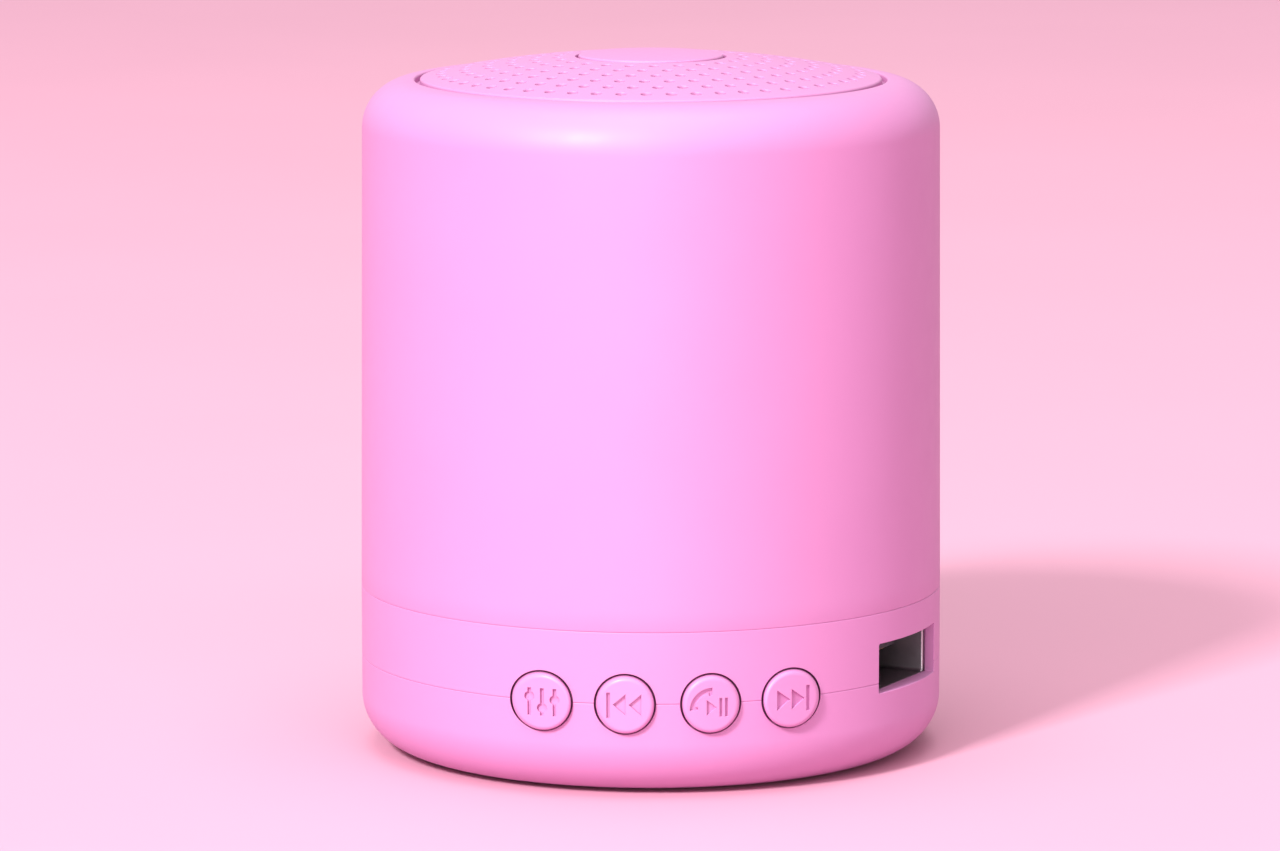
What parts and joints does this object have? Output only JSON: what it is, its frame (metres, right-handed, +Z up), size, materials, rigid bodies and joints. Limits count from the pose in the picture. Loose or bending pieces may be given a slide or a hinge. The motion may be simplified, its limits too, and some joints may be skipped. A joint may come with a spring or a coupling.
{
  "type": "portable loudspeaker",
  "caption": "Small upright cylindrical battery loudspeaker with a domed perforated top grille, a row of round push buttons low on the front and a USB-A socket in the side.",
  "frame": {"origin": "centre of the foot pad's underside, on the surface that the speaker stands on", "axes": "+Z up along the cylinder's axis, -Y towards the front with the four buttons, +X to the right of the buttons on the USB-A socket's side"},
  "size_m": [0.056, 0.0567, 0.0671],
  "materials": {
    "shell": "soft-touch matt, fine moulded texture",
    "button": "satin moulded plastic with engraved marks",
    "rubber": "matt",
    "steel": "plain zinc-plated steel",
    "screw": "zinc-plated, cross recess",
    "dark_steel": "black stove enamel",
    "black_plastic": "matt moulded plastic",
    "white_plastic": "satin",
    "clear_plastic": "clear acrylic",
    "foam": "closed-cell foam",
    "battery_wrap": "shrink wrap",
    "red_wire": "insulated wire",
    "black_wire": "insulated wire",
    "cone_paper": "pressed paper pulp",
    "spider_cloth": "impregnated cloth",
    "copper": "enamelled copper wire",
    "ferrite": "sintered ferrite",
    "board_green": "solder mask",
    "nickel": "nickel-plated sheet",
    "gold": "gold-plated contact"
  },
  "bodies": {
    "housing": {"main_shell": "shell", "middle_band": "shell", "bottom_shell": "shell", "top_grille": "shell", "grille_cap": "shell", "foot_pad": "rubber", "weight_plate": "steel", "housing_screws": "screw", "board_screws": "screw", "driver_screws": "screw", "inner_frame": "black_plastic", "battery_foam": "foam", "battery_cell": "battery_wrap", "battery_wires": "red_wire", "speaker_wires": "black_wire", "driver_frame": "dark_steel", "driver_surround": "rubber", "driver_gasket": "foam", "driver_spider": "spider_cloth", "driver_top_plate": "steel", "driver_magnet": "ferrite", "driver_yoke": "steel", "driver_terminals": "board_green", "circuit_board": "board_green", "control_chips": "black_plastic", "capacitors": "steel", "key_switches": "black_plastic", "microphone": "steel", "status_led": "white_plastic", "light_pipe": "clear_plastic", "usb_socket_shell": "nickel", "usb_socket_tongue": "black_plastic", "usb_contacts": "gold", "charge_socket_shell": "nickel", "charge_socket_tongue": "black_plastic", "card_socket": "nickel", "power_switch_case": "nickel"},
    "mode_button": {"mode_button": "button", "mode_plunger": "white_plastic"},
    "previous_button": {"previous_button": "button", "previous_plunger": "white_plastic"},
    "play_button": {"play_button": "button", "play_plunger": "white_plastic"},
    "next_button": {"next_button": "button", "next_plunger": "white_plastic"},
    "power_knob": {"power_switch_knob": "black_plastic"},
    "driver_diaphragm": {"driver_cone": "cone_paper", "driver_dust_cap": "cone_paper", "voice_coil": "copper"}
  },
  "joints": [
    {"name": "mode_press", "type": "slide", "parent": "housing", "child": "mode_button", "axis": [0, 1, 0], "range_m": [0, 0.0004], "stiffness_N_per_m": 1500},
    {"name": "previous_press", "type": "slide", "parent": "housing", "child": "previous_button", "axis": [0, 1, 0], "range_m": [0, 0.0004], "stiffness_N_per_m": 1500},
    {"name": "play_press", "type": "slide", "parent": "housing", "child": "play_button", "axis": [0, 1, 0], "range_m": [0, 0.0004], "stiffness_N_per_m": 1500},
    {"name": "next_press", "type": "slide", "parent": "housing", "child": "next_button", "axis": [0, 1, 0], "range_m": [0, 0.0004], "stiffness_N_per_m": 1500},
    {"name": "power_slide", "type": "slide", "parent": "housing", "child": "power_knob", "axis": [-0.8192, -0.5736, 0], "range_m": [0, 0.002]},
    {"name": "diaphragm_travel", "type": "slide", "parent": "housing", "child": "driver_diaphragm", "axis": [0, 0, 1], "range_m": [-0.0008, 0.0008], "stiffness_N_per_m": 1500, "deforming": ["driver_surround", "driver_spider"]}
  ]
}
